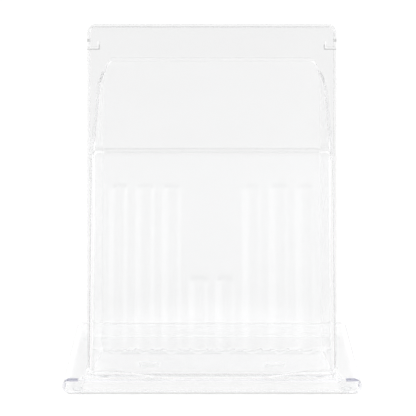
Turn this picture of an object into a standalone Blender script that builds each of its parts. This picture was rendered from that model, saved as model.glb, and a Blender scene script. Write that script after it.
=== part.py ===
"""A clear moulded magazine holder for a counter: one deep pocket, a flanged panel behind it, and a wide hollow foot.

Metres, +Z up. The front faces -Y and the origin is on the table, under the middle of the whole holder.
"""

import math

import bmesh
import bpy
from mathutils import Vector

# ---- driving dimensions ----
LEAN = math.radians(13)  # how far the pocket and the back panel lean back
WALL = 0.0022  # pocket wall
GAP = 0.0003  # clearance between neighbouring pieces
MERGE = 0.00001  # points closer than this are one

BASE_WIDTH = 0.280
BASE_DEPTH = 0.150
BASE_HEIGHT = 0.0151
BASE_WALL = 0.0024
BASE_FLANGE = 0.0105  # flat part of the side edge under the foot
BASE_REAR_ROUND = 0.003
BASE_FRONT_ROUND = 0.002

FOOT_RADIUS = 0.0046
FOOT_HEIGHT = 0.0012

POCKET_HALF = 0.1168  # half the pocket's width at the foot of its front
POCKET_DEPTH = 0.0653
POCKET_FRONT_SETBACK = 0.0005  # front face behind the foot's front edge, carried down to the foot's underside
POCKET_FRONT_TOP = 0.2227  # heights above the foot's underside
POCKET_KINK = (0.034, 0.2725)  # where each side's slope turns level: depth, height
POCKET_SIDE_TOP = 0.2812
POCKET_REAR_TOP = 0.2948
POCKET_CORNER_FRONT = 0.006
POCKET_CORNER_REAR = 0.0016
RIM_HEIGHT = 0.0042
RIM_EXTRA = 0.0013  # how far the rim stands in from the wall
FRONT_CORNER = (0.0075, 0.0062)  # rounding of the front's top corners: width, drop
REAR_SHOULDER = 0.010  # width of the rounding where the rear wall rises above the sides
FLOOR_FILLET = 0.0015

FLUTE_PITCH = 0.0254
FLUTE_WIDTH = 0.0210
FLUTE_DEPTH = 0.0015
FLUTE_FOOT = 0.0369
FLUTE_TOP = 0.1934
FLUTE_TOP_MIDDLE = 0.1100
FLUTES = 8

PANEL_WIDTH_FOOT = 0.2446
PANEL_WIDTH_TOP = 0.2416
PANEL_TOP = 0.3258
PANEL_THICK = 0.0024
PANEL_FLANGE = 0.006
PANEL_CORNER = 0.0078
TONGUE_WIDTH = 0.200
TONGUE_DEPTH = 0.0075
CLIP_WIDTH = 0.0112  # the spring clip at each top corner of the panel
CLIP_TOP = 0.3100
CLIP_FOOT = 0.3030
CLIP_SLIT = 0.0009
CLIP_RIB = 0.0010  # the rib behind each slit: thickness and how far back it stands
CLIP_RIB_DEPTH = 0.0056

TAB_WIDTH = 0.018
TAB_THICK = 0.002
TAB_BARB = 0.0009
TAB_X = 0.060
TAB_BACK = 0.036  # from the foot's front edge

# ---- worked out from them ----
FOOT_UNDERSIDE = FOOT_HEIGHT + GAP
PLATE_TOP = FOOT_UNDERSIDE + BASE_HEIGHT
PLATE_UNDER = PLATE_TOP - BASE_WALL
SLOPE = math.tan(LEAN)
PANEL_SETBACK = POCKET_FRONT_SETBACK + POCKET_DEPTH + GAP / math.cos(LEAN)
PANEL_REAR = PANEL_SETBACK + (PANEL_TOP * SLOPE) + PANEL_FLANGE * math.cos(LEAN)
FRONT_Y = -max(BASE_DEPTH, PANEL_REAR) / 2


def leaning_y(setback, z):
    """y of a leaning plane that cuts the foot's underside this far behind its front edge."""
    return FRONT_Y + setback + (z - FOOT_UNDERSIDE) * SLOPE


def mix(a, b, t):
    return a + (b - a) * t


# ---- materials ----
def clear_plastic(name, tint, roughness):
    material = bpy.data.materials.new(name)
    material.use_nodes = True
    shader = material.node_tree.nodes["Principled BSDF"]
    shader.inputs["Base Color"].default_value = (*tint, 1)
    shader.inputs["Roughness"].default_value = roughness
    shader.inputs["Metallic"].default_value = 0
    shader.inputs["IOR"].default_value = 1.58
    shader.inputs["Transmission Weight"].default_value = 1
    return material


# ---- building helpers ----
def new_object(name, bm, material=None):
    mesh = bpy.data.meshes.new(name)
    bmesh.ops.recalc_face_normals(bm, faces=bm.faces)
    bm.to_mesh(mesh)
    bm.free()
    obj = bpy.data.objects.new(name, mesh)
    bpy.context.scene.collection.objects.link(obj)
    if material:
        mesh.materials.append(material)
    return obj


def helper(obj):
    """A cutter or an adder, which only shapes its neighbour."""
    obj.hide_render = True
    obj.display_type = "WIRE"
    return obj


def boolean(obj, operation, other):
    modifier = obj.modifiers.new(f"{operation.lower()}_{other.name}", "BOOLEAN")
    modifier.operation = operation
    modifier.solver = "EXACT"
    modifier.object = other


def prism(outline, start, end):
    """A bmesh prism: outline is a list of (x, z), start and end give y for a point of it."""
    bm = bmesh.new()
    near = [bm.verts.new((x, start(z), z)) for x, z in outline]
    far = [bm.verts.new((x, end(z), z)) for x, z in outline]
    bm.faces.new(near)
    bm.faces.new(reversed(far))
    for i in range(len(outline)):
        j = (i + 1) % len(outline)
        bm.faces.new((near[i], far[i], far[j], near[j]))
    return bm


def box(name, low, high):
    outline = [(low[0], low[2]), (high[0], low[2]), (high[0], high[2]), (low[0], high[2])]
    return new_object(name, prism(outline, lambda z: low[1], lambda z: high[1]))


def arc(centre, radius, start, end, segments):
    """Points round an arc, angles in degrees."""
    angles = [math.radians(mix(start, end, i / segments)) for i in range(segments + 1)]
    return [(centre[0] + radius * math.cos(a), centre[1] + radius * math.sin(a)) for a in angles]


# ---- the foot ----
def capsule(inset, segments):
    """The foot's section across its width: flat above and below, with half-round edges."""
    radius = BASE_HEIGHT / 2
    reach = BASE_WIDTH / 2 - radius
    middle = FOOT_UNDERSIDE + radius
    right = arc((reach, middle), radius - inset, -90, 90, segments)
    left = arc((-reach, middle), radius - inset, 90, 270, segments)
    return right + left


def end_cap_edges(bm, y):
    return [e for e in bm.edges if all(abs(v.co.y - y) < 1e-6 for v in e.verts)]


def apron_outline():
    """The raised lip along the foot's front: its top dips in the middle and flares out at its ends."""
    lip = 0.0004
    shoulder = 0.0076
    horn = 0.0108
    flare = 0.0080
    dip_start, dip_end = 0.035, 0.102
    steps = 12
    right = []
    for i in range(steps + 1):
        t = i / steps
        right.append((mix(dip_start, dip_end, t), mix(lip, shoulder, t * t * (3 - 2 * t))))
    right.append((POCKET_HALF - 0.003, shoulder))
    for i in range(7):
        u = 1 - math.cos(math.radians(15 * i))
        right.append((POCKET_HALF + flare * u, horn * (1 - math.sqrt(1 - (1 - u) ** 2))))
    right = [(x, PLATE_TOP + rise) for x, rise in right]
    foot = PLATE_TOP - 2 * BASE_WALL
    right[-1] = (right[-1][0], PLATE_TOP - 0.0002)
    right.append((right[-1][0], foot))
    left = [(-x, z) for x, z in reversed(right)]
    return right + left


def make_base(material):
    front, rear = FRONT_Y, FRONT_Y + BASE_DEPTH
    bm = prism(capsule(0, 12), lambda z: front, lambda z: rear)
    bmesh.ops.bevel(bm, geom=end_cap_edges(bm, rear), offset=BASE_REAR_ROUND, segments=3, profile=0.5,
                    affect="EDGES")
    bmesh.ops.bevel(bm, geom=end_cap_edges(bm, front), offset=BASE_FRONT_ROUND, segments=3, profile=0.5,
                    affect="EDGES")
    base = new_object("base", bm, material)

    hollow = helper(new_object("base_hollow", prism(
        capsule(BASE_WALL, 12), lambda z: front + BASE_WALL, lambda z: rear - BASE_WALL)))
    reach = BASE_WIDTH / 2 - BASE_HEIGHT / 2 - BASE_FLANGE
    mouth = helper(box("base_mouth", (-reach, front + BASE_WALL + 0.003, -0.002),
                       (reach, rear - BASE_WALL - 0.003, FOOT_UNDERSIDE + BASE_WALL * 1.5)))
    apron = helper(new_object("base_apron", prism(
        apron_outline(), lambda z: front, lambda z: leaning_y(POCKET_FRONT_SETBACK - GAP / math.cos(LEAN), z))))
    slot_half = TONGUE_WIDTH / 2 + GAP
    slot = helper(new_object("base_panel_slot", prism(
        [(-slot_half, PLATE_UNDER - 0.002), (slot_half, PLATE_UNDER - 0.002),
         (slot_half, PLATE_TOP + 0.002), (-slot_half, PLATE_TOP + 0.002)],
        lambda z: leaning_y(PANEL_SETBACK - GAP / math.cos(LEAN), z),
        lambda z: leaning_y(PANEL_SETBACK + (PANEL_THICK + GAP) / math.cos(LEAN), z))))
    boolean(base, "DIFFERENCE", hollow)
    boolean(base, "DIFFERENCE", mouth)
    boolean(base, "UNION", apron)
    boolean(base, "DIFFERENCE", slot)
    for side, x in (("left", -TAB_X), ("right", TAB_X)):
        y = FRONT_Y + TAB_BACK
        cut = helper(box(f"base_tab_slot_{side}",
                         (x - TAB_WIDTH / 2 - GAP, y - TAB_BARB - GAP, PLATE_UNDER - 0.002),
                         (x + TAB_WIDTH / 2 + GAP, y + TAB_THICK + GAP, PLATE_TOP + 0.002)))
        boolean(base, "DIFFERENCE", cut)
    return base


# ---- the pocket ----
def front_half(height):
    """Half the pocket's width at its front, this high above the foot's underside."""
    return POCKET_HALF - 0.00305 * height / 0.200


def rear_half(height):
    return 0.1090 - 0.0024 * height / POCKET_SIDE_TOP


def place(x, depth, z):
    """From the straight-sided plan to the pocket's tapered, leaning shape."""
    height = z - FOOT_UNDERSIDE
    half = mix(front_half(height), rear_half(height), depth / POCKET_DEPTH)
    return Vector((x * half / POCKET_HALF, leaning_y(POCKET_FRONT_SETBACK + depth, z), z))


def flute_centres():
    return [(i - (FLUTES - 1) / 2) * FLUTE_PITCH for i in range(FLUTES)]


def flute_sink(x, height):
    """How deep the front is pressed in here: a shallow round-bottomed channel with round ends."""
    radius = FLUTE_WIDTH / 2
    for centre in flute_centres():
        top = FLUTE_TOP_MIDDLE if abs(centre) < FLUTE_PITCH else FLUTE_TOP
        along = min(max(height, FLUTE_FOOT + radius), top - radius)
        away = math.hypot(x - centre, height - along) / radius
        if away < 0.999:
            return FLUTE_DEPTH * (1 - away * away)
    return 0.0


def side_top(depth):
    """Height of a side's top edge: a steep slope behind the front, then almost level."""
    kink_depth, kink_height = POCKET_KINK
    steep = (kink_height - POCKET_FRONT_TOP) / (kink_depth - 0.0057)
    rising = kink_height + (depth - kink_depth) * steep
    level = mix(POCKET_SIDE_TOP - 0.0062, POCKET_SIDE_TOP, (depth - kink_depth) / (POCKET_DEPTH - kink_depth))
    soft = 0.006
    return (rising + level - math.sqrt((rising - level) ** 2 + soft ** 2)) / 2 + soft / 5


def front_top(x):
    """Height of the front's top edge, rounded down at its corners."""
    width, drop = FRONT_CORNER
    past = max(abs(x) - (POCKET_HALF - width), 0) / width
    return POCKET_FRONT_TOP - drop * (1 - math.sqrt(max(1 - past * past, 0)))


def columns():
    """Round the plan, anticlockwise from above: outer point, outward direction, top height, rim stretch."""
    made = []
    round_front, round_rear = POCKET_CORNER_FRONT, POCKET_CORNER_REAR
    reach = POCKET_HALF - round_front

    stations = {-reach, reach}
    for centre in flute_centres():
        for part in (-1, -0.58, 0, 0.58, 1):
            stations.add(centre + part * FLUTE_WIDTH / 2)
    for x in sorted(stations):
        made.append(((x, 0), (0, -1), front_top(x), 1))
    for point in arc((0, 0), 1, -75, -15, 4):
        x = reach + round_front * point[0]
        made.append(((x, round_front * (1 + point[1])), point, front_top(x), 1))
    start = front_top(POCKET_HALF)
    for depth in (0.0062, 0.0085, 0.0115, 0.020, 0.029, 0.034, 0.041, 0.050, POCKET_DEPTH - round_rear):
        joined = start if depth < 0.007 else side_top(depth)
        steep = abs(side_top(depth + 0.001) - side_top(depth - 0.001)) / 0.002
        made.append(((POCKET_HALF, depth), (1, 0), joined, math.sqrt(1 + min(steep, 1.8) ** 2)))
    for point in arc((0, 0), 1, 22.5, 67.5, 2):
        x = POCKET_HALF - round_rear + round_rear * point[0]
        made.append(((x, POCKET_DEPTH - round_rear + round_rear * point[1]), point, POCKET_SIDE_TOP, 1))
    rear_reach = POCKET_HALF - WALL - RIM_EXTRA - GAP
    rise = POCKET_REAR_TOP - POCKET_SIDE_TOP
    shoulder = []
    for angle in (0, 18, 36, 54, 72, 90):
        across = REAR_SHOULDER * (1 - math.cos(math.radians(angle)))
        height = POCKET_SIDE_TOP + rise * math.sin(math.radians(angle))
        shoulder.append(((rear_reach - across, POCKET_DEPTH), (0, 1), height, 1))
    made += shoulder
    for x in (0.05, 0, -0.05):
        made.append(((x, POCKET_DEPTH), (0, 1), POCKET_REAR_TOP, 1))
    mirrored = [((-p[0], p[1]), (-n[0], n[1]), top, stretch) for p, n, top, stretch in reversed(made)]
    return made + [m for m in mirrored if m[0][0] < 0 and (m[1] != (0, -1) or abs(m[0][1]) > 1e-9)
                   and not (m[1] == (0, 1) and abs(m[0][0]) <= 0.05)]


def make_pocket(material):
    bm = bmesh.new()
    floor_under = PLATE_TOP + GAP
    floor_over = floor_under + WALL
    radius = FLUTE_WIDTH / 2
    levels = []
    for foot, top in ((FLUTE_FOOT, FLUTE_TOP_MIDDLE), (None, FLUTE_TOP)):
        if foot:
            levels += [foot, foot + 0.42 * radius, foot + radius]
        levels += [top - radius, top - 0.42 * radius, top]
    rim_foot = POCKET_FRONT_TOP - RIM_HEIGHT
    shares = [(h + FOOT_UNDERSIDE - floor_over) / (rim_foot + FOOT_UNDERSIDE - floor_over) for h in levels]
    outer, inner, rims = [], [], []
    for point, out, top, stretch in columns():
        top_z = top + FOOT_UNDERSIDE
        rim_z = top_z - RIM_HEIGHT * stretch
        on_front = out == (0, -1)

        def vertex(inset, z):
            sink = flute_sink(point[0], z - FOOT_UNDERSIDE) if on_front else 0
            limit = POCKET_HALF - inset
            x = min(max(point[0] - out[0] * inset, -limit), limit)
            depth = min(point[1] - out[1] * inset, POCKET_DEPTH - inset)
            return bm.verts.new(place(x, depth + sink, z))

        chamfer = 0.0008
        rows = [vertex(0.0012, floor_under), vertex(0, floor_under + 0.0012)]
        rows += [vertex(0, mix(floor_over, rim_z, s)) for s in shares]
        rows += [vertex(0, rim_z), vertex(0, top_z - chamfer * stretch)]
        outer.append(rows)
        thick = WALL + RIM_EXTRA
        rims.append([vertex(chamfer, top_z), vertex(thick - chamfer, top_z)])
        down = [vertex(thick, top_z - chamfer * stretch), vertex(thick, rim_z + RIM_EXTRA * stretch),
                vertex(WALL, rim_z)]
        down += [vertex(WALL, mix(floor_over, rim_z, s)) for s in reversed(shares)]
        down += [vertex(WALL, floor_over + FLOOR_FILLET), vertex(WALL + FLOOR_FILLET, floor_over)]
        inner.append(down)
    count = len(outer)
    for i in range(count):
        here = outer[i] + rims[i] + inner[i]
        after = outer[(i + 1) % count] + rims[(i + 1) % count] + inner[(i + 1) % count]
        for j in range(len(here) - 1):
            bm.faces.new((here[j], after[j], after[j + 1], here[j + 1]))
    bm.faces.new([rows[0] for rows in reversed(outer)])
    bm.faces.new([rows[-1] for rows in inner])
    bmesh.ops.remove_doubles(bm, verts=bm.verts, dist=MERGE)
    pocket = new_object("pocket", bm, material)
    for side, x in (("left", -TAB_X), ("right", TAB_X)):
        boolean(pocket, "UNION", make_tab(f"pocket_tab_{side}", x))
    return pocket


def make_tab(name, x):
    """A barbed tab under the pocket's floor, which snaps through the foot's top plate."""
    y = FRONT_Y + TAB_BACK
    barb_top = PLATE_UNDER - GAP
    profile = [(y, PLATE_TOP + GAP + WALL / 2), (y, barb_top), (y - TAB_BARB, barb_top),
               (y + TAB_BARB, barb_top - 0.0035), (y + TAB_THICK, barb_top - 0.0035),
               (y + TAB_THICK, PLATE_TOP + GAP + WALL / 2)]
    bm = bmesh.new()
    near = [bm.verts.new((x - TAB_WIDTH / 2, py, pz)) for py, pz in profile]
    far = [bm.verts.new((x + TAB_WIDTH / 2, py, pz)) for py, pz in profile]
    bm.faces.new(near)
    bm.faces.new(reversed(far))
    for i in range(len(profile)):
        j = (i + 1) % len(profile)
        bm.faces.new((near[i], far[i], far[j], near[j]))
    return helper(new_object(name, bm))


# ---- the back panel, drawn upright and then leaned back ----
def up_panel(height):
    """Distance up the panel's face of a height above the foot's underside."""
    return height / math.cos(LEAN)


def panel_half(up):
    return mix(PANEL_WIDTH_FOOT, PANEL_WIDTH_TOP, up / up_panel(PANEL_TOP)) / 2


def panel_outline(inset, foot, top_inset):
    top = up_panel(PANEL_TOP) - top_inset
    radius = PANEL_CORNER - inset
    half = panel_half(top) - inset
    right = arc((half - radius, top - radius), radius, 0, 90, 6)
    return [(panel_half(foot) - inset, foot)] + right + [(-x, z) for x, z in reversed(right)] + [
        (-panel_half(foot) + inset, foot)]


def make_back_panel(material):
    foot = up_panel(BASE_HEIGHT + 2 * GAP + PANEL_FLANGE * math.sin(LEAN))
    edge_round = 0.0018
    bm = prism(panel_outline(0, foot, 0), lambda z: 0, lambda z: PANEL_FLANGE)
    bmesh.ops.bevel(bm, geom=[e for e in end_cap_edges(bm, 0) if max(v.co.z for v in e.verts) > foot + 1e-5],
                    offset=edge_round, segments=3, profile=0.5, affect="EDGES")
    panel = new_object("back_panel", bm, material)
    hollow = new_object("back_panel_hollow", prism(
        panel_outline(PANEL_THICK, foot - 0.02, PANEL_THICK), lambda z: PANEL_THICK, lambda z: 0.02))
    tongue = box("back_panel_tongue", (-TONGUE_WIDTH / 2, 0, foot - TONGUE_DEPTH),
                 (TONGUE_WIDTH / 2, PANEL_THICK, foot + 0.004))
    cutters, ribs = [hollow], []
    for side, sign in (("left", -1), ("right", 1)):
        edge = panel_half(up_panel(CLIP_FOOT))
        inner = edge - CLIP_WIDTH
        low, high = up_panel(CLIP_FOOT), up_panel(CLIP_TOP)
        across = sorted((sign * inner, sign * (edge + 0.002)))
        upright = sorted((sign * inner, sign * (inner + CLIP_SLIT)))
        cutters.append(box(f"clip_slit_foot_{side}", (across[0], -0.002, low), (across[1], 0.02, low + CLIP_SLIT)))
        cutters.append(box(f"clip_slit_side_{side}", (upright[0], -0.002, low), (upright[1], 0.0055, high)))
        under = sorted((sign * (inner - CLIP_RIB), sign * (edge - PANEL_THICK / 2)))
        beside = sorted((sign * (inner - CLIP_RIB), sign * inner))
        ribs.append(box(f"clip_rib_foot_{side}", (under[0], PANEL_THICK / 2, low - CLIP_RIB),
                        (under[1], CLIP_RIB_DEPTH, low)))
        ribs.append(box(f"clip_rib_side_{side}", (beside[0], PANEL_THICK / 2, low - CLIP_RIB),
                        (beside[1], CLIP_RIB_DEPTH, high)))
    anchor = bpy.data.objects.new("back_panel_anchor", None)
    bpy.context.scene.collection.objects.link(anchor)
    anchor.location = (0, leaning_y(PANEL_SETBACK, FOOT_UNDERSIDE), FOOT_UNDERSIDE)
    anchor.rotation_euler = (-LEAN, 0, 0)
    panel.parent = anchor
    for part in cutters + [tongue] + ribs:
        helper(part).parent = anchor
        boolean(panel, "DIFFERENCE" if part in cutters else "UNION", part)
    return panel


# ---- the bumper feet ----
def make_foot(name, x, y, material):
    bm = bmesh.new()
    bmesh.ops.create_cone(bm, cap_ends=True, segments=24, radius1=FOOT_RADIUS - 0.0006, radius2=FOOT_RADIUS,
                          depth=FOOT_HEIGHT)
    foot = new_object(name, bm, material)
    foot.location = (x, y, FOOT_HEIGHT / 2)
    foot.data.shade_smooth()
    foot.data.set_sharp_from_angle(angle=math.radians(40))
    return foot


def main():
    for obj in list(bpy.data.objects):
        bpy.data.objects.remove(obj, do_unlink=True)
    make_base(clear_plastic("base_polystyrene", (0.97, 0.98, 0.98), 0.03))
    make_pocket(clear_plastic("pocket_polystyrene", (0.98, 0.985, 0.985), 0.02))
    make_back_panel(clear_plastic("panel_polystyrene", (0.97, 0.975, 0.975), 0.02))
    rubber = clear_plastic("bumper_rubber", (0.9, 0.91, 0.91), 0.4)
    x = BASE_WIDTH / 2 - BASE_HEIGHT / 2 - FOOT_RADIUS - 0.0008
    inset = 0.013
    for row, y in (("front", FRONT_Y + inset), ("rear", FRONT_Y + BASE_DEPTH - inset)):
        for side, sign in (("left", -1), ("right", 1)):
            make_foot(f"foot_{row}_{side}", sign * x, y, rubber)


main()
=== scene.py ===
"""Looks of the clear magazine holder: fine clear mouldings over the CAD frame, on a white lit table."""
import math

import bmesh
import bpy
import numpy as np
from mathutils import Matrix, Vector


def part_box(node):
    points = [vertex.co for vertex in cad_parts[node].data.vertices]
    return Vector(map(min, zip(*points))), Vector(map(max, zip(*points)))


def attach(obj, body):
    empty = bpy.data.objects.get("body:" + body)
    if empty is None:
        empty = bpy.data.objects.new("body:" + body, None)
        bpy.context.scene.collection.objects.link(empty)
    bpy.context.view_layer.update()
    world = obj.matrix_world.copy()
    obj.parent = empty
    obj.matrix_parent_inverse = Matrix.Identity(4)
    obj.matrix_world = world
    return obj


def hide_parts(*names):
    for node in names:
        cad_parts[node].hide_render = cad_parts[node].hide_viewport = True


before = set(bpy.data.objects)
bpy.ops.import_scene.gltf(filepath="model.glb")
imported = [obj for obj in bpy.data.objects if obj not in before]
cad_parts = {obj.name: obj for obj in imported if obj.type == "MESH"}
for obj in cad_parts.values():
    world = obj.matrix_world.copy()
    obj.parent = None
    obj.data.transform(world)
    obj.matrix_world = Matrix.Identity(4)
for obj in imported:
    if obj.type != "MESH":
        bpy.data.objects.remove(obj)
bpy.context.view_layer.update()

# ---- driving dimensions in metres: the CAD's sizes, with finer flutes and roundings ----
LEAN = math.radians(13)  # how far the pocket and the panel lean back
SLOPE = math.tan(LEAN)
GAP = 0.0003  # clearance between neighbouring pieces
MERGE = 1e-6  # points closer than this are one
OVERCUT = 0.002  # how far a cutter reaches past the wall it cuts

BASE_LOW, BASE_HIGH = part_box("base")
BASE_EDGE, BASE_REAR = BASE_HIGH[0], BASE_HIGH[1]
FRONT_Y = BASE_LOW[1]
UNDERSIDE = BASE_LOW[2]
BASE_HEIGHT = 0.0151
BASE_FLANGE = 0.0105  # flat part of the side edge under the foot
BASE_FRONT_ROUND = 0.002
BASE_REAR_ROUND = 0.003
PLATE_WALL = 0.0024
PLATE_TOP = UNDERSIDE + BASE_HEIGHT
SHELF = 0.003  # width of the shelf at the front and the rear of the opening under the foot

LIP_DIP = 0.035  # the front lip's low middle reaches this far out
LIP_RISE_END = 0.102  # and its top is level from here
LIP_LOW = 0.0004
LIP_HIGH = 0.0076
LIP_FLARE = 0.008  # the curve that brings each end down to the plate: width, height
LIP_FLARE_HEIGHT = 0.0108
LIP_SUNK = 0.0002  # the curve's ends lie this far under the plate's top
LIP_CORNER = 0.003  # from the end of the level top to the pocket's corner
LIP_POINTS = 24
FLARE_POINTS = 12

TAB_X = 0.060
TAB_BACK = 0.036  # from the foot's front edge
TAB_HALF = 0.009
TAB_THICK = 0.002
TAB_BARB = 0.0009
TAB_TIP = 0.0035  # height of the barb

WALL = 0.0022  # pocket wall
POCKET_HALF = 0.1168  # half the width at the foot of the front
POCKET_DEPTH = 0.0653
POCKET_SETBACK = 0.0005
POCKET_FRONT_TOP = 0.2227  # heights above the foot's underside
POCKET_KINK = (0.034, 0.2725)  # where each side's slope turns level: depth, height
POCKET_SIDE_TOP = 0.2812
POCKET_REAR_TOP = 0.2948
FRONT_TAPER = 0.00305  # each side of the front stands in by this at TAPER_HEIGHT
TAPER_HEIGHT = 0.200
REAR_HALF = 0.1090
REAR_TAPER = 0.0024  # each side of the rear stands in by this at the sides' top
SIDE_START = 0.0057  # depth at which each side's slope starts
SIDE_LEVEL_RISE = 0.0062  # rise of each side's top behind the kink
KINK_ROUND = 0.006
CORNER_FRONT = 0.006
CORNER_REAR = 0.0016
FRONT_CORNER = (0.0075, 0.0062)  # rounding of the front's top corners: width, drop
REAR_SHOULDER = 0.009  # rounding where the rear wall rises above the sides
FLOOR_UNDER = PLATE_TOP + GAP
FLOOR_OVER = FLOOR_UNDER + WALL
FLOOR_ROUND = 0.002
FLOOR_FILLET = 0.0015
RIM_HEIGHT = 0.0042
RIM_EXTRA = 0.0013  # how far the rim stands in from the wall
RIM_ROUND = 0.0014
RIM_STEP = 0.0004  # from the wall's top to the rim's own rows
RIM_INSIDE_STEP = 0.0006
RIM_JOIN = 0.0045  # depth over which the front's rim turns into the side's
STEEPEST = 1.8  # steepest side slope that stretches the rim
ABOVE_FLOOR = 0.003  # first row of the wall above its floor fillet

FLUTES = 8
FLUTE_PITCH = 0.0254
FLUTE_RADIUS = 0.0102
FLUTE_END = 0.0084
FLUTE_DEPTH = 0.0012
FLUTE_FOOT = 0.0369
FLUTE_TOP = 0.1934
FLUTE_TOP_MIDDLE = 0.1100
FLUTE_FLATNESS = 1.7  # above 1, the channel's floor is flatter and its edges are steeper

PANEL_SETBACK = POCKET_SETBACK + POCKET_DEPTH + GAP / math.cos(LEAN)
PANEL_TOP = 0.3258
PANEL_WIDTH_FOOT = 0.2446
PANEL_WIDTH_TOP = 0.2416
PANEL_FLANGE = 0.006
PANEL_CORNER = 0.0078
PANEL_ROUND = 0.0022  # rounding of the panel's outer edge
PANEL_TIP_ROUND = 0.0009
PANEL_FILLET = 0.0012
PANEL_BORDER = 0.0062  # where the turned-back edge ends and the flat panel begins
TONGUE_WIDTH = 0.200
TONGUE_DEPTH = 0.0075
TONGUE_ROOT = 0.004
CLIP_WIDTH = 0.0112
CLIP_TOP = 0.3100
CLIP_FOOT = 0.3030
CLIP_SLIT = 0.0009
CLIP_SLIT_DEPTH = 0.0055
CLIP_RIB = 0.0010
CLIP_RIB_DEPTH = 0.0056
THROUGH_PANEL = 0.020  # a depth behind everything on the panel

BUMPER_INSET = 0.0006  # the bumper's foot is this much smaller all round
BUMPER_ROUND = 0.0003
BUMPER_CHAMFER = 0.0002

# ---- point spacing, rows and rounding segments ----
FRONT_STEP = 0.0007
SIDE_STEP = 0.0009
SHOULDER_STEP = 0.004
STRAIGHT_STEP = 0.006
NEAR_MIDDLE = 0.002  # the last step stays this far from the middle, which has its own column
FLUTE_END_ROWS = 20
BETWEEN_ROWS = 9
PANEL_ROWS = 40
END_SEGMENTS = 28
END_ROUND_SEGMENTS = 6
BUMPER_SEGMENTS = 40
SHARP_BASE = SHARP_PANEL = 32  # degrees: edges sharper than this stay sharp
SHARP_POCKET = 50
SHARP_BUMPER = 40

# ---- finish of the plastic ----
FLOW_SCALE = 14.0
FLOW_CONTRAST = 0.012
SCUFF_SCALE = 420.0
SCUFF_RANGE = (0.45, 0.85)
SCUFF_SHARES = (0.4, 2.2)  # roughness between the scuffs and in them, as shares of the haze
EDGE_RANGE = (0.55, 0.75)
EDGE_ROUGHNESS = 0.06

# ---- light levels: 1 is the white of the background ----
BACKDROP = 1.0
SKY_LOW = 1.34
SKY_HIGH = 1.14
SIDE_EXTRA = 0.38
SIDE_CENTRE = -0.11  # middle of the darker stretch between the bright sides
FAR_SIDE_SHARE = 0.45  # what is left of SIDE_EXTRA behind the holder
OVERHEAD_EXTRA = -0.20
NO_LIMIT = 9  # above any level of the room
GLOW_FAR = 0.662
GLOW_UNDER = 0.12
GLOW_FRONT = 0.09
UNDER_GLOW_REACH = (0.12, 0.22)  # metres from its middle where the glow starts to fall, and where it ends
FRONT_GLOW_REACH = (0.02, 0.16)
FRONT_GLOW_Y = -0.09
FRONT_GLOW_SCALE = (1 / 3, 1, 1)  # three times as wide as it is deep
TABLE_HALF = 6.0

# ---- where each light level changes, along a component of the direction ----
SKY_TURN = (0.12, 0.36)
OVERHEAD_TURN = (0.45, 0.75)
SIDE_TURN = (0.10, 0.42)
FACING_TURN = (-0.3, 0.4)
SIDE_LIMIT_TURN = (0.70, 0.88)
BEHIND_LIMIT_TURN = (0.90, 0.97)

# ---- camera ----
CAMERA_ASIDE = -0.0037
CAMERA_DISTANCE = 1.2093  # from the foot's front edge
CAMERA_HEIGHT = 0.528  # above the foot's underside
CAMERA_TILT = 16  # degrees below the horizontal
CAMERA_LENS = 121.15
CAMERA_SENSOR = 36
BOUNCES = 160  # a ray crosses many clear walls
DIFFUSE_BOUNCES = 6


def mix(a, b, t):
    return a + (b - a) * t


def ease(t):
    return t * t * (3 - 2 * t)


def grey(level):
    return (level, level, level)


def leaning_y(setback, z):
    """y of a leaning plane that cuts the foot's underside this far behind its front edge."""
    return FRONT_Y + setback + (z - UNDERSIDE) * SLOPE


# ---- materials ----
def node(tree, kind, **inputs):
    made = tree.nodes.new(kind)
    for name, value in inputs.items():
        made.inputs[name.replace("_", " ")].default_value = value
    return made


def calculate(tree, operation, first, second, third=None):
    """A Math node; each operand is a socket or a plain number."""
    made = node(tree, "ShaderNodeMath")
    made.operation = operation
    for i, operand in enumerate((first, second, third)):
        if isinstance(operand, (int, float)):
            made.inputs[i].default_value = operand
        elif operand is not None:
            tree.links.new(operand, made.inputs[i])
    return made.outputs["Value"]


def remap(tree, source, start, end, low, high, smooth_steps=True):
    """Maps source from start..end to low..high, and holds it there outside."""
    made = node(tree, "ShaderNodeMapRange", From_Min=start, From_Max=end, To_Min=low, To_Max=high)
    if smooth_steps:
        made.interpolation_type = "SMOOTHSTEP"
    tree.links.new(source, made.inputs["Value"])
    return made.outputs["Result"]


def blend(tree, share, first, second):
    """A colour Mix node; first is a socket or a colour, and second is a colour."""
    made = node(tree, "ShaderNodeMix")
    made.data_type = "RGBA"
    if isinstance(first, tuple):
        made.inputs[6].default_value = (*first, 1)
    else:
        tree.links.new(first, made.inputs[6])
    made.inputs[7].default_value = (*second, 1)
    tree.links.new(share, made.inputs[0])
    return made.outputs[2]


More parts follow.
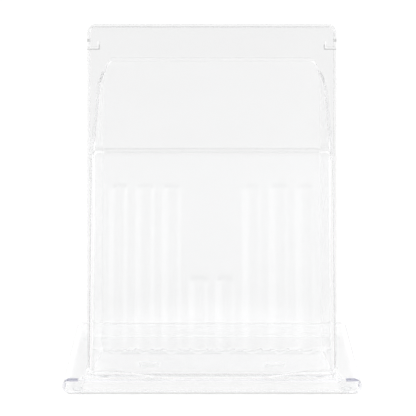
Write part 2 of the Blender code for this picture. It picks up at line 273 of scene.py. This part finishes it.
def clear_plastic(name, tint, haze, wave, loss, ior=1.58, zones=()):
    """Clear moulded plastic: flow waves, a haze of scuffs, duller edges, a loss per metre inside, and zones
    of painted light and shade.
    """
    material = bpy.data.materials.new(name)
    material.use_nodes = True
    tree = material.node_tree
    shader = tree.nodes["Principled BSDF"]
    link = tree.links.new
    where = node(tree, "ShaderNodeTexCoord")
    shader.inputs["IOR"].default_value = ior
    shader.inputs["Transmission Weight"].default_value = 1

    flow = node(tree, "ShaderNodeTexNoise", Scale=FLOW_SCALE, Detail=2.0, Roughness=0.45)
    link(where.outputs["Object"], flow.inputs["Vector"])
    lighter = tuple(min(c + FLOW_CONTRAST, 1) for c in tint)
    colour = blend(tree, flow.outputs["Fac"], tint, lighter)
    for zone in zones:
        colour = painted_light_zone(tree, where, colour, *zone)
    link(colour, shader.inputs["Base Color"])

    scuffs = node(tree, "ShaderNodeTexNoise", Scale=SCUFF_SCALE, Detail=5.0, Roughness=0.6)
    link(where.outputs["Object"], scuffs.inputs["Vector"])
    roughness = [haze * share for share in SCUFF_SHARES]
    patches = remap(tree, scuffs.outputs["Fac"], *SCUFF_RANGE, *roughness, smooth_steps=False)
    shape = node(tree, "ShaderNodeNewGeometry")
    edges = remap(tree, shape.outputs["Pointiness"], *EDGE_RANGE, 0.0, EDGE_ROUGHNESS, smooth_steps=False)
    link(calculate(tree, "ADD", patches, edges), shader.inputs["Roughness"])

    bump = node(tree, "ShaderNodeBump", Strength=wave, Distance=0.001)
    link(flow.outputs["Fac"], bump.inputs["Height"])
    link(bump.outputs["Normal"], shader.inputs["Normal"])

    density = 2 * max(loss)
    kept = [1 - l / density for l in loss]
    depth = node(tree, "ShaderNodeVolumeAbsorption", Color=(*kept, 1), Density=density)
    link(depth.outputs["Volume"], tree.nodes["Material Output"].inputs["Volume"])
    return material


def painted_light_zone(tree, where, colour, centre, half, soft, tint, lean=0.0):
    """Painted light and shade: another tint inside a soft-edged box of the piece and its mirror image; lean
    slopes the box back.
    """
    split = node(tree, "ShaderNodeSeparateXYZ")
    tree.links.new(where.outputs["Object"], split.inputs["Vector"])
    beside = calculate(tree, "ABSOLUTE", split.outputs["X"], 0)
    back = calculate(tree, "MULTIPLY_ADD", split.outputs["Z"], -lean, split.outputs["Y"])
    outside = None
    for along, middle, reach in zip((beside, back, split.outputs["Z"]), centre, half):
        off_centre = calculate(tree, "ABSOLUTE", calculate(tree, "SUBTRACT", along, middle), 0)
        past = calculate(tree, "SUBTRACT", off_centre, reach)
        outside = past if outside is None else calculate(tree, "MAXIMUM", outside, past)
    return blend(tree, remap(tree, outside, 0, soft, 1, 0), colour, tint)


def table_top():
    """A white light table: matt acrylic lit from below, brightest under the holder and along its front."""
    material = bpy.data.materials.new("table_white")
    material.use_nodes = True
    tree = material.node_tree
    link = tree.links.new
    shader = tree.nodes["Principled BSDF"]
    where = node(tree, "ShaderNodeTexCoord")

    def glow(centre, scale, fall, near, far):
        moved = node(tree, "ShaderNodeMapping")
        moved.inputs["Location"].default_value = [-c * s for c, s in zip(centre, scale)]
        moved.inputs["Scale"].default_value = scale
        link(where.outputs["Object"], moved.inputs["Vector"])
        distance = node(tree, "ShaderNodeVectorMath")
        distance.operation = "LENGTH"
        link(moved.outputs["Vector"], distance.inputs[0])
        return remap(tree, distance.outputs["Value"], *fall, near, far)

    under = glow((0, 0, 0), (1, 1, 1), UNDER_GLOW_REACH, GLOW_FAR + GLOW_UNDER, GLOW_FAR)
    along = glow((0, FRONT_GLOW_Y, 0), FRONT_GLOW_SCALE, FRONT_GLOW_REACH, GLOW_FRONT, 0)
    shader.inputs["Emission Color"].default_value = (1, 1, 1, 1)
    link(calculate(tree, "ADD", under, along), shader.inputs["Emission Strength"])

    mottle = node(tree, "ShaderNodeTexNoise", Scale=6.0, Detail=3.0)
    link(where.outputs["Object"], mottle.inputs["Vector"])
    link(blend(tree, mottle.outputs["Fac"], grey(0.29), grey(0.31)), shader.inputs["Base Color"])
    shader.inputs["Roughness"].default_value = 0.7
    shader.inputs["Specular IOR Level"].default_value = 0.2
    return material


# ---- mesh helpers ----
def place_mesh(name, mesh, material):
    obj = bpy.data.objects.new(name, mesh)
    bpy.context.scene.collection.objects.link(obj)
    if material:
        mesh.materials.append(material)
    return obj


def mesh_object(name, vertices, faces, material):
    mesh = bpy.data.meshes.new(name)
    mesh.from_pydata([tuple(v) for v in vertices], [], faces)
    mesh.update()
    return place_mesh(name, mesh, material)


def merge(obj):
    """Joins the points that fall together, and turns every face outwards."""
    bm = bmesh.new()
    bm.from_mesh(obj.data)
    bmesh.ops.remove_doubles(bm, verts=bm.verts, dist=MERGE)
    bmesh.ops.recalc_face_normals(bm, faces=bm.faces)
    bm.to_mesh(obj.data)
    bm.free()


def from_bmesh(name, bm, material=None):
    mesh = bpy.data.meshes.new(name)
    bmesh.ops.recalc_face_normals(bm, faces=bm.faces)
    bm.to_mesh(mesh)
    bm.free()
    return place_mesh(name, mesh, material)


def loft(near_points, far_points):
    """A bmesh solid between two outlines of equally many points."""
    bm = bmesh.new()
    near = [bm.verts.new(point) for point in near_points]
    far = [bm.verts.new(point) for point in far_points]
    bm.faces.new(near)
    bm.faces.new(reversed(far))
    for i in range(len(near)):
        j = (i + 1) % len(near)
        bm.faces.new((near[i], far[i], far[j], near[j]))
    return bm


def prism(outline, start, end):
    """A solid along Y: outline is a list of (x, z), and start and end give y for a height."""
    return loft([(x, start(z), z) for x, z in outline], [(x, end(z), z) for x, z in outline])


def rectangle(low, high):
    """The corners of a rectangle in X and Z."""
    return [(low[0], low[1]), (high[0], low[1]), (high[0], high[1]), (low[0], high[1])]


def box(name, low, high):
    outline = rectangle((low[0], low[2]), (high[0], high[2]))
    return from_bmesh(name, prism(outline, lambda z: low[1], lambda z: high[1]))


def arc(centre, radius, start, end, segments):
    angles = [math.radians(mix(start, end, i / segments)) for i in range(segments + 1)]
    return [(centre[0] + radius * math.cos(a), centre[1] + radius * math.sin(a)) for a in angles]


def combine(obj, steps):
    """Applies each (operation, other) Boolean in turn, and removes the other pieces."""
    for operation, other in steps:
        modifier = obj.modifiers.new(operation.lower(), "BOOLEAN")
        modifier.operation = operation
        modifier.solver = "EXACT"
        modifier.object = other
        bpy.context.view_layer.update()
        graph = bpy.context.evaluated_depsgraph_get()
        mesh = bpy.data.meshes.new_from_object(obj.evaluated_get(graph))
        old = obj.data
        obj.modifiers.clear()
        obj.data = mesh
        bpy.data.meshes.remove(old)
        bpy.data.objects.remove(other, do_unlink=True)


def smooth(obj, degrees):
    """Smooth shading that keeps sharp edges sharp and flat faces flat."""
    obj.data.shade_smooth()
    obj.data.set_sharp_from_angle(angle=math.radians(degrees))
    weigh = obj.modifiers.new("weigh", "WEIGHTED_NORMAL")
    weigh.keep_sharp = True
    weigh.weight = 100
    return obj


# ---- the pocket ----
def front_half(height):
    return POCKET_HALF - FRONT_TAPER * height / TAPER_HEIGHT


def rear_half(height):
    return REAR_HALF - REAR_TAPER * height / POCKET_SIDE_TOP


def place(x, depth, z):
    """From the straight-sided plan to the pocket's tapered, leaning shape."""
    height = z - UNDERSIDE
    half = mix(front_half(height), rear_half(height), depth / POCKET_DEPTH)
    return (x * half / POCKET_HALF, leaning_y(POCKET_SETBACK + depth, z), z)


def flute_sink(x, height):
    """How deep the front is pressed in: straight channels with round ends."""
    for i in range(FLUTES):
        centre = (i - (FLUTES - 1) / 2) * FLUTE_PITCH
        if abs(x - centre) < FLUTE_RADIUS:
            top = FLUTE_TOP_MIDDLE if abs(centre) < FLUTE_PITCH else FLUTE_TOP
            above = max(height - (top - FLUTE_END), 0) / FLUTE_END
            below = max(FLUTE_FOOT + FLUTE_END - height, 0) / FLUTE_END
            across = (x - centre) / FLUTE_RADIUS
            away = min(math.hypot(across, above + below), 1)
            return FLUTE_DEPTH * (0.5 + 0.5 * math.cos(math.pi * away ** FLUTE_FLATNESS))
    return 0.0


def side_top(depth):
    """Height of a side: a steep rise that turns nearly level at the kink."""
    kink_depth, kink_height = POCKET_KINK
    steep = (kink_height - POCKET_FRONT_TOP) / (kink_depth - SIDE_START)
    rising = kink_height + (depth - kink_depth) * steep
    share = (depth - kink_depth) / (POCKET_DEPTH - kink_depth)
    level = mix(POCKET_SIDE_TOP - SIDE_LEVEL_RISE, POCKET_SIDE_TOP, share)
    return (rising + level - math.sqrt((rising - level) ** 2 + KINK_ROUND ** 2)) / 2 + KINK_ROUND / 5


def side_slope(depth):
    step = 0.001
    return (side_top(depth + step) - side_top(depth - step)) / (2 * step)


def front_top(x):
    width, drop = FRONT_CORNER
    past = max(abs(x) - (POCKET_HALF - width), 0) / width
    return POCKET_FRONT_TOP - drop * (1 - math.sqrt(max(1 - past * past, 0)))


def half_plan():
    """The plan's columns from the middle of the front round to the middle of the rear, on the +X side.

    Each column is its place, its outward direction, the height of its top, and the rim's stretch on a slope.
    """
    made = []
    reach = POCKET_HALF - CORNER_FRONT
    for x in np.arange(0, reach, FRONT_STEP):
        made.append(((x, 0), (0, -1), front_top(x), 1))
    for point in arc((0, 0), 1, -90, 0, 16):
        x = reach + CORNER_FRONT * point[0]
        made.append(((x, CORNER_FRONT * (1 + point[1])), point, front_top(x), 1))
    start = front_top(POCKET_HALF)
    for depth in np.arange(CORNER_FRONT + FRONT_STEP, POCKET_DEPTH - CORNER_REAR, SIDE_STEP):
        t = min((depth - CORNER_FRONT) / RIM_JOIN, 1)
        top = mix(start, side_top(depth), ease(t))
        steep = side_slope(depth) * t
        made.append(((POCKET_HALF, depth), (1, 0), top, math.sqrt(1 + min(steep, STEEPEST) ** 2)))
    reach = POCKET_HALF - CORNER_REAR
    for point in arc((0, 0), 1, 0, 90, 12):
        corner = (reach + CORNER_REAR * point[0], POCKET_DEPTH - CORNER_REAR * (1 - point[1]))
        made.append((corner, point, POCKET_SIDE_TOP, 1))
    rise = POCKET_REAR_TOP - POCKET_SIDE_TOP
    reach = POCKET_HALF - WALL - RIM_EXTRA - GAP
    for angle in range(0, 91, 3):
        across = REAR_SHOULDER * (1 - math.cos(math.radians(angle)))
        height = POCKET_SIDE_TOP + rise * math.sin(math.radians(angle))
        made.append(((reach - across, POCKET_DEPTH), (0, 1), height, 1))
    first = reach - REAR_SHOULDER - SHOULDER_STEP
    for x in np.arange(first, NEAR_MIDDLE, -STRAIGHT_STEP):
        made.append(((x, POCKET_DEPTH), (0, 1), POCKET_REAR_TOP, 1))
    made.append(((0, POCKET_DEPTH), (0, 1), POCKET_REAR_TOP, 1))
    return made


def wall_shares(rim_z):
    """Rows up the wall as shares of the front's height, close together where the flutes end."""
    levels = []
    for foot, top in ((FLUTE_FOOT, FLUTE_FOOT + FLUTE_END),
                      (FLUTE_TOP_MIDDLE - FLUTE_END, FLUTE_TOP_MIDDLE),
                      (FLUTE_TOP - FLUTE_END, FLUTE_TOP)):
        levels += [mix(foot, top, i / FLUTE_END_ROWS) for i in range(FLUTE_END_ROWS + 1)]
    low, high = FLOOR_OVER - UNDERSIDE, rim_z - UNDERSIDE
    for start, end in ((low + ABOVE_FLOOR, FLUTE_FOOT),
                       (FLUTE_FOOT + FLUTE_END, FLUTE_TOP_MIDDLE - FLUTE_END),
                       (FLUTE_TOP_MIDDLE, FLUTE_TOP - FLUTE_END),
                       (FLUTE_TOP, high)):
        levels += [mix(start, end, i / BETWEEN_ROWS) for i in range(1, BETWEEN_ROWS)]
    return sorted((h - low) / (high - low) for h in levels)


def wall_section(top, stretch, shares):
    """Up the outside of the wall, over the rim and down the inside: (inward from the outside, z)."""
    top_z = top + UNDERSIDE
    rim_z = top_z - RIM_HEIGHT * stretch
    thick = WALL + RIM_EXTRA
    path = [(FLOOR_ROUND - dx, FLOOR_UNDER + FLOOR_ROUND - dz)
            for dx, dz in arc((0, 0), FLOOR_ROUND, 90, 0, 5)]
    path += [(0, mix(FLOOR_OVER, rim_z, s)) for s in shares]
    path += [(0, rim_z + RIM_STEP * stretch)]
    path += [(RIM_ROUND + dx, top_z + (dz - RIM_ROUND) * stretch)
             for dx, dz in arc((0, 0), RIM_ROUND, 180, 90, 6)]
    path += [(thick - RIM_ROUND + dx, top_z + (dz - RIM_ROUND) * stretch)
             for dx, dz in arc((0, 0), RIM_ROUND, 90, 0, 6)]
    for i in range(7):
        t = i / 6
        above_rim = mix(RIM_HEIGHT - RIM_ROUND - RIM_INSIDE_STEP, 0, t)
        path.append((mix(thick, WALL, ease(t)), rim_z + above_rim * stretch))
    path += [(WALL, mix(FLOOR_OVER, rim_z, s)) for s in reversed(shares)]
    path += [(WALL + FLOOR_FILLET - dx, FLOOR_OVER + FLOOR_FILLET - dz)
             for dx, dz in arc((0, 0), FLOOR_FILLET, 0, 90, 4)]
    return path


def make_pocket(material):
    half = half_plan()
    mirrored = [((-p[0], p[1]), (-n[0], n[1]), top, stretch) for p, n, top, stretch in reversed(half[1:-1])]
    shares = wall_shares(POCKET_FRONT_TOP - RIM_HEIGHT + UNDERSIDE)
    vertices = []
    for point, out, top, stretch in half + mirrored:
        section = wall_section(top, stretch, shares)
        on_front = out[1] < -0.999  # facing straight ahead
        for inset, z in section:
            sink = flute_sink(point[0], z - UNDERSIDE) if on_front else 0
            limit = POCKET_HALF - inset
            x = min(max(point[0] - out[0] * inset, -limit), limit)
            depth = min(point[1] - out[1] * inset, POCKET_DEPTH - inset)
            vertices.append(place(x, depth + sink, z))
    rows = len(section)
    count = len(vertices) // rows
    faces = []
    for i in range(count):
        a, b = i * rows, (i + 1) % count * rows
        faces += [(a + j, b + j, b + j + 1, a + j + 1) for j in range(rows - 1)]
    faces.append([i * rows for i in reversed(range(count))])
    faces.append([i * rows + rows - 1 for i in range(count)])
    pocket = mesh_object("pocket_clear", vertices, faces, material)
    merge(pocket)
    combine(pocket, [("UNION", make_tab(x)) for x in (-TAB_X, TAB_X)])
    return smooth(pocket, SHARP_POCKET)


def make_tab(x):
    """A tab under the pocket's floor, with a barb that catches under the foot's plate."""
    y = FRONT_Y + TAB_BACK
    top = FLOOR_UNDER + WALL / 2
    barb_top = PLATE_TOP - PLATE_WALL - GAP
    tip = barb_top - TAB_TIP
    profile = [(y, top), (y, barb_top), (y - TAB_BARB, barb_top), (y + TAB_BARB, tip), (y + TAB_THICK, tip),
               (y + TAB_THICK, top)]
    return from_bmesh("tab", loft([(x - TAB_HALF, *point) for point in profile],
                                  [(x + TAB_HALF, *point) for point in profile]))


# ---- the foot ----
def capsule(inset):
    """The foot's outline from the front, with half-round ends."""
    radius = BASE_HEIGHT / 2
    reach = BASE_EDGE - radius
    middle = UNDERSIDE + radius
    return (arc((reach, middle), radius - inset, -90, 90, END_SEGMENTS)
            + arc((-reach, middle), radius - inset, 90, 270, END_SEGMENTS))


def end_cap_edges(bm, y):
    return [e for e in bm.edges if all(abs(v.co.y - y) < MERGE for v in e.verts)]


def apron_outline():
    """The front lip from the front: low in the middle, higher from there, and flared at its ends."""
    right = []
    for i in range(LIP_POINTS + 1):
        t = i / LIP_POINTS
        right.append((mix(LIP_DIP, LIP_RISE_END, t), mix(LIP_LOW, LIP_HIGH, ease(t))))
    right.append((POCKET_HALF - LIP_CORNER, LIP_HIGH))
    for i in range(FLARE_POINTS + 1):
        u = 1 - math.cos(math.radians(90 / FLARE_POINTS * i))
        right.append((POCKET_HALF + LIP_FLARE * u, LIP_FLARE_HEIGHT * (1 - math.sqrt(1 - (1 - u) ** 2))))
    right = [(x, PLATE_TOP + rise) for x, rise in right]
    right[-1] = (right[-1][0], PLATE_TOP - LIP_SUNK)
    right.append((right[-1][0], PLATE_TOP - 2 * PLATE_WALL))
    return right + [(-x, z) for x, z in reversed(right)]


def make_base(material):
    bm = prism(capsule(0), lambda z: FRONT_Y, lambda z: BASE_REAR)
    for y, rounding in ((BASE_REAR, BASE_REAR_ROUND), (FRONT_Y, BASE_FRONT_ROUND)):
        bmesh.ops.bevel(bm, geom=end_cap_edges(bm, y), offset=rounding, segments=END_ROUND_SEGMENTS,
                        profile=0.5, affect="EDGES")
    base = from_bmesh("base_clear", bm, material)
    inner_front, inner_rear = FRONT_Y + PLATE_WALL, BASE_REAR - PLATE_WALL
    hollow = from_bmesh("hollow", prism(capsule(PLATE_WALL), lambda z: inner_front, lambda z: inner_rear))
    reach = BASE_EDGE - BASE_HEIGHT / 2 - BASE_FLANGE
    mouth = box("mouth", (-reach, inner_front + SHELF, -OVERCUT),
                (reach, inner_rear - SHELF, UNDERSIDE + PLATE_WALL * 1.5))
    apron = from_bmesh("apron", prism(
        apron_outline(),
        lambda z: FRONT_Y,
        lambda z: leaning_y(POCKET_SETBACK - GAP / math.cos(LEAN), z)))
    slot_half = TONGUE_WIDTH / 2 + GAP
    low, high = PLATE_TOP - PLATE_WALL - OVERCUT, PLATE_TOP + OVERCUT
    slot = from_bmesh("slot", prism(
        rectangle((-slot_half, low), (slot_half, high)),
        lambda z: leaning_y(PANEL_SETBACK - GAP / math.cos(LEAN), z),
        lambda z: leaning_y(PANEL_SETBACK + (PLATE_WALL + GAP) / math.cos(LEAN), z)))
    steps = [("DIFFERENCE", hollow), ("DIFFERENCE", mouth), ("UNION", apron), ("DIFFERENCE", slot)]
    y = FRONT_Y + TAB_BACK
    for x in (-TAB_X, TAB_X):
        tab_slot = box("tab_slot", (x - TAB_HALF - GAP, y - TAB_BARB - GAP, low),
                       (x + TAB_HALF + GAP, y + TAB_THICK + GAP, high))
        steps.append(("DIFFERENCE", tab_slot))
    combine(base, steps)
    return smooth(base, SHARP_BASE)


# ---- the back panel, drawn upright and then leaned back ----
def up_panel(height):
    return height / math.cos(LEAN)


def panel_half(up):
    return mix(PANEL_WIDTH_FOOT, PANEL_WIDTH_TOP, up / up_panel(PANEL_TOP)) / 2


def panel_path(foot):
    """Points round the panel's sides and top, with the inward direction at each, foot to foot."""
    top = up_panel(PANEL_TOP)
    half = panel_half(top)
    path = []
    for i in range(PANEL_ROWS):
        up = mix(foot, top - PANEL_CORNER, i / PANEL_ROWS)
        path.append(((panel_half(up), up), (-1, 0)))
    for point in arc((0, 0), 1, 0, 90, 16):
        corner = (half - PANEL_CORNER * (1 - point[0]), top - PANEL_CORNER * (1 - point[1]))
        path.append((corner, (-point[0], -point[1])))
    first = half - PANEL_CORNER - STRAIGHT_STEP
    path += [((x, top), (0, -1)) for x in np.arange(first, NEAR_MIDDLE, -STRAIGHT_STEP)]
    left = [((-p[0], p[1]), (-n[0], n[1])) for p, n in reversed(path)]
    return path + [((0, top), (0, -1))] + left


def panel_section():
    """Across the turned-back edge: (inward from the outline, back from the front face)."""
    outer, tip, fillet = PANEL_ROUND, PANEL_TIP_ROUND, PANEL_FILLET
    border_row, round_row, fillet_row = 0.0044, 0.0008, 0.001  # extra rows, which keep the flat parts flat
    section = [(PANEL_BORDER, 0), (border_row, 0), (outer + round_row, 0)]
    section += [(outer + dx, outer + dy) for dx, dy in arc((0, 0), outer, 270, 180, 8)]
    section += [(tip + dx, PANEL_FLANGE - tip + dy) for dx, dy in arc((0, 0), tip, 180, 90, 4)]
    section += [(PLATE_WALL - tip + dx, PANEL_FLANGE - tip + dy) for dx, dy in arc((0, 0), tip, 90, 0, 4)]
    section += [(PLATE_WALL + fillet + dx, PLATE_WALL + fillet + dy)
                for dx, dy in arc((0, 0), fillet, 180, 270, 5)]
    section += [(PLATE_WALL + fillet + fillet_row, PLATE_WALL), (PANEL_BORDER, PLATE_WALL)]
    return section


def clip_steps(sign):
    """One snap clip: an L-shaped slit through the panel, and a rib behind each of its two legs."""
    low, high = up_panel(CLIP_FOOT), up_panel(CLIP_TOP)
    edge = panel_half(low)
    inner = edge - CLIP_WIDTH
    across = sorted((sign * inner, sign * (edge + OVERCUT)))
    upright = sorted((sign * inner, sign * (inner + CLIP_SLIT)))
    steps = [
        ("DIFFERENCE", box("slit", (across[0], -OVERCUT, low), (across[1], THROUGH_PANEL, low + CLIP_SLIT))),
        ("DIFFERENCE", box("slit", (upright[0], -OVERCUT, low), (upright[1], CLIP_SLIT_DEPTH, high))),
    ]
    under = sorted((sign * (inner - CLIP_RIB), sign * (edge - PLATE_WALL / 2)))
    beside = sorted((sign * inner, sign * (inner - CLIP_RIB)))
    for reach, top in ((under, low), (beside, high)):
        steps.append(("UNION", box("rib", (reach[0], PLATE_WALL / 2, low - CLIP_RIB),
                                   (reach[1], CLIP_RIB_DEPTH, top))))
    return steps


def make_back_panel(material):
    foot = up_panel(BASE_HEIGHT + 2 * GAP + PANEL_FLANGE * math.sin(LEAN))
    path, section = panel_path(foot), panel_section()
    vertices = []
    for (x, up), (dx, dup) in path:
        vertices += [(x + dx * inward, back, up + dup * inward) for inward, back in section]
    rows, count = len(section), len(path)
    faces = []
    for i in range(count - 1):
        a, b = i * rows, (i + 1) * rows
        faces += [(a + j, a + j + 1, b + j + 1, b + j) for j in range(rows - 1)]
    faces.append([i * rows for i in range(count)])
    faces.append([i * rows + rows - 1 for i in reversed(range(count))])
    last = (count - 1) * rows
    faces.append(list(reversed(range(rows))) + [last + j for j in range(rows)])
    panel = mesh_object("back_panel_clear", vertices, faces, material)
    merge(panel)
    tongue = box("tongue", (-TONGUE_WIDTH / 2, 0, foot - TONGUE_DEPTH),
                 (TONGUE_WIDTH / 2, PLATE_WALL, foot + TONGUE_ROOT))
    combine(panel, [("UNION", tongue)] + clip_steps(-1) + clip_steps(1))
    panel.location = (0, leaning_y(PANEL_SETBACK, UNDERSIDE), UNDERSIDE)
    panel.rotation_euler = (-LEAN, 0, 0)
    return smooth(panel, SHARP_PANEL)


# ---- the bumpers ----
def make_bumper(name, cad_node, material):
    low, high = (Vector(p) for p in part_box(cad_node))
    centre, radius, height = (low + high) / 2, (high.x - low.x) / 2, high.z - low.z
    foot_reach = radius - BUMPER_INSET - BUMPER_ROUND
    profile = [(0, 0)]
    profile += [(foot_reach + dx, BUMPER_ROUND + dz) for dx, dz in arc((0, 0), BUMPER_ROUND, 270, 350, 4)]
    profile += [(radius, height - BUMPER_CHAMFER), (radius - BUMPER_CHAMFER, height), (0, height)]
    vertices, faces = [], []
    for r, z in profile:
        for k in range(BUMPER_SEGMENTS):
            angle = 2 * math.pi * k / BUMPER_SEGMENTS
            vertices.append((centre.x + r * math.cos(angle), centre.y + r * math.sin(angle), low.z + z))
    for j in range(len(profile) - 1):
        for k in range(BUMPER_SEGMENTS):
            a, b = j * BUMPER_SEGMENTS + k, j * BUMPER_SEGMENTS + (k + 1) % BUMPER_SEGMENTS
            faces.append((a, b, b + BUMPER_SEGMENTS, a + BUMPER_SEGMENTS))
    bumper = mesh_object(name, vertices, faces, material)
    merge(bumper)
    return smooth(bumper, SHARP_BUMPER)


# ---- painted light and shade, where a moulding's tint differs, on its own coordinates: middle, half size, soft edge, tint ----
def base_painted_light():
    side = UNDERSIDE + BASE_HEIGHT / 2
    return [
        # the front lip, lighter as painted light, then the dark line and the corner at each end of the bar,
        # both painted shade
        ((0, FRONT_Y, PLATE_TOP + 0.010), (POCKET_HALF, 0.009, 0.012), 0.002, grey(1.0)),
        ((BASE_EDGE - 0.006, FRONT_Y, PLATE_TOP), (0.0085, 0.003, 0.0015), 0.0010, (0.34, 0.34, 0.46)),
        ((BASE_EDGE, FRONT_Y, PLATE_TOP - 0.004), (0.0030, 0.003, 0.0030), 0.0010, (0.45, 0.45, 0.52)),
        # the bar's rounded ends and its lower edge, darker as painted shade; the lower edge stands in for a
        # contact shadow
        ((BASE_EDGE, FRONT_Y, side), (0.0022, 0.004, BASE_HEIGHT), 0.001, (0.64, 0.64, 0.66)),
        ((0, FRONT_Y, UNDERSIDE), (BASE_EDGE, 0.003, 0.0015), 0.0008, (0.48, 0.48, 0.46)),
    ]


def panel_painted_light():
    """Painted light and shade on the panel; heights are up the panel before it leans."""
    foot, clip_foot, top = up_panel(BASE_HEIGHT), up_panel(CLIP_FOOT), up_panel(PANEL_TOP)
    side = PANEL_WIDTH_FOOT / 2
    clip = PANEL_WIDTH_TOP / 2 - CLIP_WIDTH
    clip_shade = grey(0.62)
    return [
        # the strip above the foot, painted lighter than the rest of the panel, and the line where the two
        # meet, a painted highlight
        ((0, 0, foot), (BASE_EDGE, THROUGH_PANEL, 0.0275), 0.003, grey(0.870)),
        ((0, 0, foot), (BASE_EDGE, THROUGH_PANEL, 0.003), 0.002, grey(0.96)),
        # the turned-back edge at the sides and at the top, painted lighter than the panel
        ((side, 0, top / 2), (0.0032, THROUGH_PANEL, top), 0.0010, grey(0.890)),
        ((0, 0, top), (BASE_EDGE, THROUGH_PANEL, 0.0022), 0.0008, grey(0.92)),
        # each clip's two slits, darkened as painted shade, and the dark dot above them
        ((clip + 0.006, 0, clip_foot), (0.0064, THROUGH_PANEL, 0.0011), 0.0006, clip_shade),
        ((clip, 0, clip_foot + 0.0018), (0.0009, THROUGH_PANEL, 0.0018), 0.0006, clip_shade),
        ((clip + 0.0105, 0, clip_foot + 0.0078), (0.0009, THROUGH_PANEL, 0.0011), 0.0005, grey(0.45)),
    ]


def pocket_painted_light():
    rim_below, rim_half = 0.0036, 0.0021
    front_rim, rear_rim = UNDERSIDE + POCKET_FRONT_TOP, UNDERSIDE + POCKET_REAR_TOP
    front_y = leaning_y(POCKET_SETBACK, front_rim)
    rear_y = leaning_y(POCKET_SETBACK, rear_rim) + POCKET_DEPTH
    corner_y = leaning_y(POCKET_SETBACK, 0)
    half = front_rim / 2
    return [
        # painted shade under the rim of the front and of the rear wall, then at the front corners
        ((0, front_y, front_rim - rim_below), (BASE_EDGE, 0.012, rim_half), 0.0008, grey(0.975)),
        ((0, rear_y, rear_rim - rim_below), (BASE_EDGE, 0.02, rim_half), 0.0008, grey(0.99)),
        ((POCKET_HALF, corner_y, half), (0.0062, 0.005, half), 0.0012, grey(0.91), SLOPE),
    ]


# ---- the room ----
def make_floor():
    size = TABLE_HALF
    floor = mesh_object("table", [(-size, -size, 0), (size, -size, 0), (size, size, 0), (-size, size, 0)],
                        [(0, 1, 2, 3)], table_top())


def make_light():
    """A white room: brighter low down and at both sides, and darker overhead.

    Straight behind the holder and far out to the sides it is no brighter than the backdrop.
    """
    world = bpy.data.worlds.new("studio")
    bpy.context.scene.world = world
    world.use_nodes = True
    tree = world.node_tree
    where = node(tree, "ShaderNodeTexCoord")
    split = node(tree, "ShaderNodeSeparateXYZ")
    tree.links.new(where.outputs["Generated"], split.inputs["Vector"])
    x, y, z = (split.outputs[axis] for axis in "XYZ")

    height = remap(tree, z, *SKY_TURN, SKY_LOW, SKY_HIGH)
    overhead = remap(tree, z, *OVERHEAD_TURN, 0, OVERHEAD_EXTRA)
    aside = calculate(tree, "ABSOLUTE", calculate(tree, "SUBTRACT", x, SIDE_CENTRE), 0)
    sides = remap(tree, aside, *SIDE_TURN, 0, SIDE_EXTRA)
    facing = remap(tree, y, *FACING_TURN, 1, FAR_SIDE_SHARE)
    total = calculate(tree, "ADD", calculate(tree, "ADD", height, overhead),
                      calculate(tree, "MULTIPLY", sides, facing))
    for direction, turn in ((aside, SIDE_LIMIT_TURN), (y, BEHIND_LIMIT_TURN)):
        total = calculate(tree, "MINIMUM", total, remap(tree, direction, *turn, NO_LIMIT, BACKDROP))
    tree.links.new(total, tree.nodes["Background"].inputs["Strength"])
    tree.nodes["Background"].inputs["Color"].default_value = (1, 1, 1, 1)


def make_camera():
    data = bpy.data.cameras.new("camera")
    data.sensor_width = CAMERA_SENSOR
    data.lens = CAMERA_LENS
    camera = bpy.data.objects.new("camera", data)
    bpy.context.scene.collection.objects.link(camera)
    camera.location = (CAMERA_ASIDE, FRONT_Y - CAMERA_DISTANCE, CAMERA_HEIGHT + UNDERSIDE)
    camera.rotation_euler = (math.radians(90 - CAMERA_TILT), 0, 0)
    bpy.context.scene.camera = camera


def main():
    scene = bpy.context.scene
    scene.view_settings.view_transform = "Standard"
    if hasattr(scene, "cycles"):
        scene.cycles.max_bounces = BOUNCES
        scene.cycles.transmission_bounces = BOUNCES
        scene.cycles.glossy_bounces = BOUNCES
        scene.cycles.diffuse_bounces = DIFFUSE_BOUNCES
    make_floor()
    make_light()
    make_camera()
    foot_plastic = clear_plastic("foot_plastic", (0.942, 0.943, 0.944), haze=0.08, wave=0.012,
                                 loss=(0.3, 0.3, 0.2), ior=1.49, zones=base_painted_light())
    pocket_plastic = clear_plastic("pocket_plastic", (0.980, 0.981, 0.982), haze=0.05, wave=0.02,
                                   loss=(0.15, 0.15, 0.12), zones=pocket_painted_light())
    # the panel's deep grey tint and strong loss are painted shade that darkens the single clear sheet
    panel_plastic = clear_plastic("panel_plastic", (0.821, 0.821, 0.822), haze=0.015, wave=0.03,
                                  loss=(5.0, 4.9, 4.8), zones=panel_painted_light())
    pieces = {
        "base": (make_base(foot_plastic), "base_clear"),
        "pocket": (make_pocket(pocket_plastic), "pocket_clear"),
        "back_panel": (make_back_panel(panel_plastic), "panel_clear"),
    }
    rubber = clear_plastic("bumper_plastic", (0.92, 0.93, 0.93), haze=0.35, wave=0.2,
                           loss=(14.0, 12.0, 10.0), ior=1.45)
    for row in ("front", "rear"):
        for side in ("left", "right"):
            name = f"foot_{row}_{side}"
            pieces[name] = (make_bumper(f"bumper_{row}_{side}", name, rubber), "bumper")
    for cad_node, (piece, slot) in pieces.items():
        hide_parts(cad_node)
        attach(piece, "root")


main()
